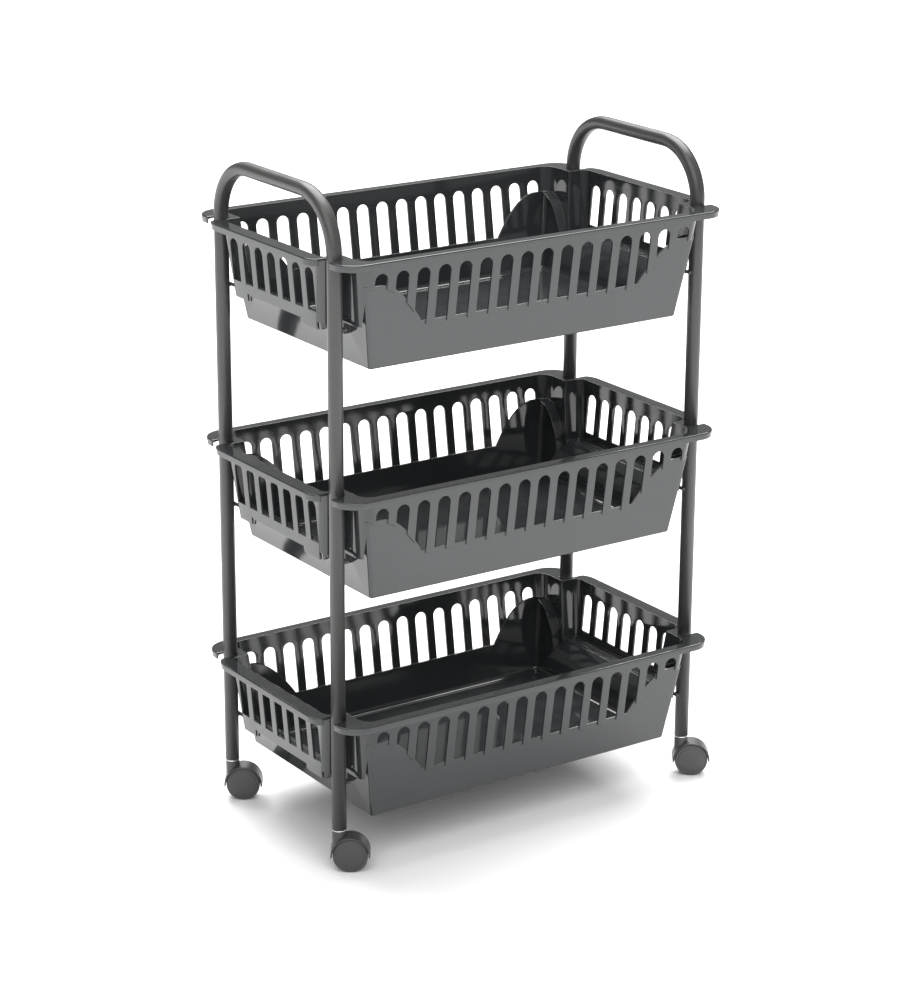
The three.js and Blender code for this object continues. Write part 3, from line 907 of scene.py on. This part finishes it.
def finish_material(name, colour, worn, rough, skin, bump, wear, dust, metallic=0.0, ior=1.5,
                    coat=0.0, coat_rough=0.1, scratch=0.4, shift=0.12):
    """A finish with its own colour drift, handling, scratches, dust, edge wear and skin."""
    made = bpy.data.materials.new(name)
    made.use_nodes = True
    tree = made.node_tree
    tree.nodes.clear()
    kit = Tree(tree)
    end = kit.node("ShaderNodeOutputMaterial")
    shader = kit.node("ShaderNodeBsdfPrincipled")
    kit.join(shader.outputs["BSDF"], end.inputs["Surface"])
    where = kit.node("ShaderNodeTexCoord").outputs["Object"]

    drift = kit.spread(kit.noise(where, 6.0, 4.0, 0.6), 0.3, 0.7)
    deep = tuple(c * (1 - shift) for c in colour) + (1,)
    light = tuple(c * (1 + shift) for c in colour) + (1,)
    tint = kit.blend(drift, deep, light)
    edges = placed_group(kit, WEAR, where, Width=wear[0], Amount=wear[1])
    tint = kit.blend(edges, tint, (*worn, 1))
    marks = placed_group(kit, SCRATCHES, where, Amount=scratch)
    tint = kit.blend(kit.math("MULTIPLY", marks, 0.35), tint, (*worn, 1))
    film = placed_group(kit, DUST, where, Amount=dust)
    tint = kit.blend(film, tint, (0.32, 0.31, 0.29, 1))
    kit.join(tint, shader.inputs["Base Color"])

    roughness = placed_group(kit, HANDLING, where, Low=rough[0], High=rough[1])
    roughness = kit.math("ADD", roughness, kit.math("MULTIPLY", marks, 0.25))
    roughness = kit.math("ADD", roughness, kit.math("MULTIPLY", film, 0.6), clamp=True)
    kit.join(roughness, shader.inputs["Roughness"])

    height = placed_group(kit, SKIN, where, Scale=skin[0], Waviness=skin[1], Grain=skin[2])
    height = kit.math("SUBTRACT", height, kit.math("MULTIPLY", marks, 0.05))
    relief = kit.node("ShaderNodeBump")
    relief.inputs["Strength"].default_value = 1.0
    relief.inputs["Distance"].default_value = bump
    kit.join(height, relief.inputs["Height"])
    kit.join(relief.outputs["Normal"], shader.inputs["Normal"])

    shader.inputs["Metallic"].default_value = metallic
    shader.inputs["IOR"].default_value = ior
    shader.inputs["Coat Weight"].default_value = coat
    shader.inputs["Coat Roughness"].default_value = coat_rough
    return made


frame_paint = finish_material(
    "satin_frame_paint", (0.040, 0.0395, 0.0385), (0.13, 0.127, 0.123), (0.28, 0.40),
    (1400.0, 0.25, 0.5), 0.00006, (0.0006, 0.15), 0.10, scratch=0.25, shift=0.06,
)
wire_paint = finish_material(
    "wire_paint", (0.040, 0.040, 0.040), (0.18, 0.175, 0.17), (0.36, 0.5),
    (1800.0, 0.2, 0.5), 0.00006, (0.0006, 0.3), 0.12, scratch=0.3, shift=0.08,
)
basket_plastic = finish_material(
    "glossy_basket_plastic", (0.0260, 0.0280, 0.0296), (0.060, 0.061, 0.062), (0.04, 0.09),
    (700.0, 0.9, 0.05), 0.00022, (0.0009, 0.4), 0.05, ior=1.6, scratch=0.3, shift=0.1,
)
caster_plastic = finish_material(
    "caster_nylon", (0.040, 0.040, 0.040), (0.12, 0.12, 0.118), (0.30, 0.42),
    (2200.0, 0.4, 0.4), 0.00005, (0.0005, 0.35), 0.10, scratch=0.35,
)
wheel_plastic = finish_material(
    "wheel_plastic", (0.050, 0.050, 0.049), (0.15, 0.148, 0.143), (0.46, 0.6),
    (2600.0, 0.25, 0.6), 0.00006, (0.0006, 0.45), 0.16, scratch=0.5,
)
socket_plastic = finish_material(
    "socket_plastic", (0.028, 0.028, 0.029), (0.10, 0.10, 0.10), (0.5, 0.62),
    (2400.0, 0.3, 0.5), 0.00005, (0.0005, 0.3), 0.08, scratch=0.2,
)
zinc = finish_material(
    "bright_zinc", (0.78, 0.79, 0.80), (0.55, 0.54, 0.52), (0.16, 0.3),
    (3000.0, 0.2, 0.4), 0.00003, (0.0003, 0.2), 0.04, metallic=1.0, scratch=0.5, shift=0.05,
)


# ---- the object ----
def settle(obj, node, body, material, slot):
    """Gives a finished piece its finish and its body, and hides the CAD node that it stands for."""
    obj.data.materials.clear()
    obj.data.materials.append(material)
    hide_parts(node)
    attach(obj, body)


for side, label in ((-1, "left"), (1, "right")):
    node = f"{label}_frame_tube"
    settle(make_tube(side, f"{node}_bent"), node, "cart", frame_paint, "frame_paint")
    for tier in TIERS:
        node = f"{label}_{tier}_wire"
        wire = make_wire(side, wire_height(tier), f"{node}_welded")
        settle(wire, node, "cart", wire_paint, "wire_paint")

basket = make_basket()
for tier in TIERS:
    node = f"{tier}_basket"
    moulded = moved_copy(basket, f"{node}_moulded", Matrix.Translation((0, 0, wire_height(tier))))
    settle(smooth(moulded, BASKET_SMOOTH), node, "cart", basket_plastic, "basket_plastic")
discard(basket)

joints = {joint["name"]: joint for joint in frame["joints"]}


def joint_point(name):
    return Vector(joints[name]["pos_m"])


stem_at = joint_point("front_left_swivel_turn")
hub_at = joint_point("front_left_outer_wheel_roll")
reach = hub_at - stem_at
TRAIL = math.hypot(reach.x, reach.y)
parked = Matrix.Rotation(math.atan2(reach.y, reach.x), 4, "Z")

caster = {
    "housing": (make_housing(TRAIL), caster_plastic, "caster_plastic"),
    "stem": (make_stem(TRAIL), zinc, "zinc"),
    "wheel_outer": (make_wheel(TRAIL, -1), wheel_plastic, "wheel_plastic"),
    "wheel_inner": (make_wheel(TRAIL, 1), wheel_plastic, "wheel_plastic"),
}
body_names = {
    "housing": "{}_swivel",
    "stem": "cart",
    "wheel_outer": "{}_outer_wheel",
    "wheel_inner": "{}_inner_wheel",
}
for corner in ("front_left", "back_left", "front_right", "back_right"):
    stem_at = joint_point(f"{corner}_swivel_turn")
    place = Matrix.Translation((stem_at.x, stem_at.y, 0)) @ parked
    for kind, (source, material, slot) in caster.items():
        node = f"{corner}_{kind}"
        twin = moved_copy(source, f"{node}_fine", place)
        if kind == "housing":
            smooth(twin, BASKET_SMOOTH)
        settle(twin, node, body_names[kind].format(corner), material, slot)
    for kind, material in (("socket", socket_plastic), ("axle", zinc)):
        kept = frame["nodes"][f"{corner}_{kind}"]
        for holder in kept.material_slots:
            holder.material = material
for source, _, _ in caster.values():
    discard(source)


# ---- studio ----
FLOOR_REACH = 40.0
FLOOR_SHADE = 0.93
BACKDROP = 1.1
ROOM_FILL = 0.32


def studio_floor():
    bm = bmesh.new()
    bmesh.ops.create_grid(bm, x_segments=1, y_segments=1, size=FLOOR_REACH)
    floor = piece_from(bm, "studio_floor")
    pale = bpy.data.materials.new("pale_floor")
    pale.use_nodes = True
    shader = pale.node_tree.nodes["Principled BSDF"]
    shader.inputs["Base Color"].default_value = (FLOOR_SHADE, FLOOR_SHADE, FLOOR_SHADE, 1)
    shader.inputs["Roughness"].default_value = 0.9
    shader.inputs["IOR"].default_value = 1.2
    floor.data.materials.append(pale)


def broad_sun(name, towards, strength, width):
    """Even soft light from one side of the sky."""
    light = bpy.data.lights.new(name, "SUN")
    light.energy = strength
    light.angle = width
    lamp = bpy.data.objects.new(name, light)
    lamp.rotation_mode = "QUATERNION"
    lamp.rotation_quaternion = Vector(towards).to_track_quat("Z", "Y")
    bpy.context.scene.collection.objects.link(lamp)


def studio_world(fill):
    """A white backdrop that lights the object only faintly."""
    world = bpy.data.worlds.new("white_studio")
    world.use_nodes = True
    tree = world.node_tree
    shade = tree.nodes["Background"]
    shade.inputs["Color"].default_value = (1.0, 1.0, 1.0, 1)
    seen = tree.nodes.new("ShaderNodeLightPath")
    level = tree.nodes.new("ShaderNodeMapRange")
    level.inputs["To Min"].default_value = fill
    level.inputs["To Max"].default_value = BACKDROP
    tree.links.new(seen.outputs["Is Camera Ray"], level.inputs["Value"])
    tree.links.new(level.outputs["Result"], shade.inputs["Strength"])
    bpy.context.scene.world = world


VIEW_YAW = math.radians(34.4)
VIEW_PITCH = math.radians(18.3)
VIEW_ROLL = math.radians(0.3)
VIEW_DISTANCE = 3.066
AIM_RIGHT = 0.0027
AIM_UP = 0.2141
LENS = 104.98


def studio_camera():
    forward = Vector((
        math.sin(VIEW_YAW) * math.cos(VIEW_PITCH),
        math.cos(VIEW_YAW) * math.cos(VIEW_PITCH),
        -math.sin(VIEW_PITCH),
    ))
    level = Vector((math.cos(VIEW_YAW), -math.sin(VIEW_YAW), 0))
    upright = level.cross(forward)
    right = level * math.cos(VIEW_ROLL) + upright * math.sin(VIEW_ROLL)
    up = upright * math.cos(VIEW_ROLL) - level * math.sin(VIEW_ROLL)
    aim = right * AIM_RIGHT + up * AIM_UP + Vector((0, 0, wire_height("bottom")))
    data = bpy.data.cameras.new("studio_camera")
    data.lens = LENS
    data.sensor_width = 36
    data.clip_start = 0.05
    data.clip_end = 60
    camera = bpy.data.objects.new("studio_camera", data)
    turn = Matrix((right, up, -forward)).transposed().to_4x4()
    camera.matrix_world = Matrix.Translation(aim - forward * VIEW_DISTANCE) @ turn
    bpy.context.scene.collection.objects.link(camera)
    bpy.context.scene.camera = camera


studio_floor()
studio_world(ROOM_FILL)
broad_sun("high_soft_light", (0.3, 0.4, 0.87), 6.0, math.radians(60))
broad_sun("front_fill_light", (-0.35, -0.6, 0.72), 2.1, math.radians(70))
studio_camera()
bpy.context.scene.view_settings.view_transform = "Standard"
